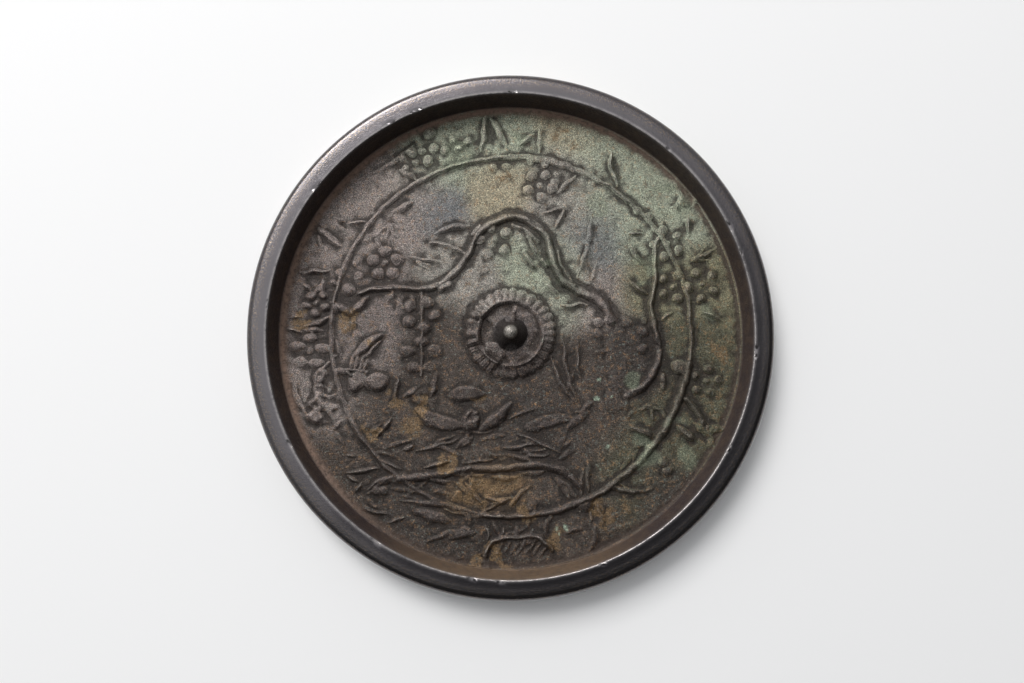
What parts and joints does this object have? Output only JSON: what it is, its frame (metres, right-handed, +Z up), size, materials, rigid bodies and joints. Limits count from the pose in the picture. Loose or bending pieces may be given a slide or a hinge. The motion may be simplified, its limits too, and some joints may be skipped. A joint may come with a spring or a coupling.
{
  "type": "ancient bronze mirror",
  "caption": "Round cast bronze mirror lying face down, its recessed back decorated with plum boughs, birds and reeds around a pierced knob.",
  "frame": {"origin": "centre of the flat reflecting face, which is the underside as the mirror lies", "axes": "+Z up out of the decorated back, +Y towards the top of the picture, along the cord hole of the knob, +X to the right of the picture"},
  "size_m": [0.112, 0.112, 0.0085],
  "materials": {
    "bronze": "aged bronze: dark brown-grey satin patina with sage green bloom, pale verdigris spots and ochre crust"
  },
  "bodies": {
    "root": {"mirror": "bronze"}
  },
  "joints": []
}
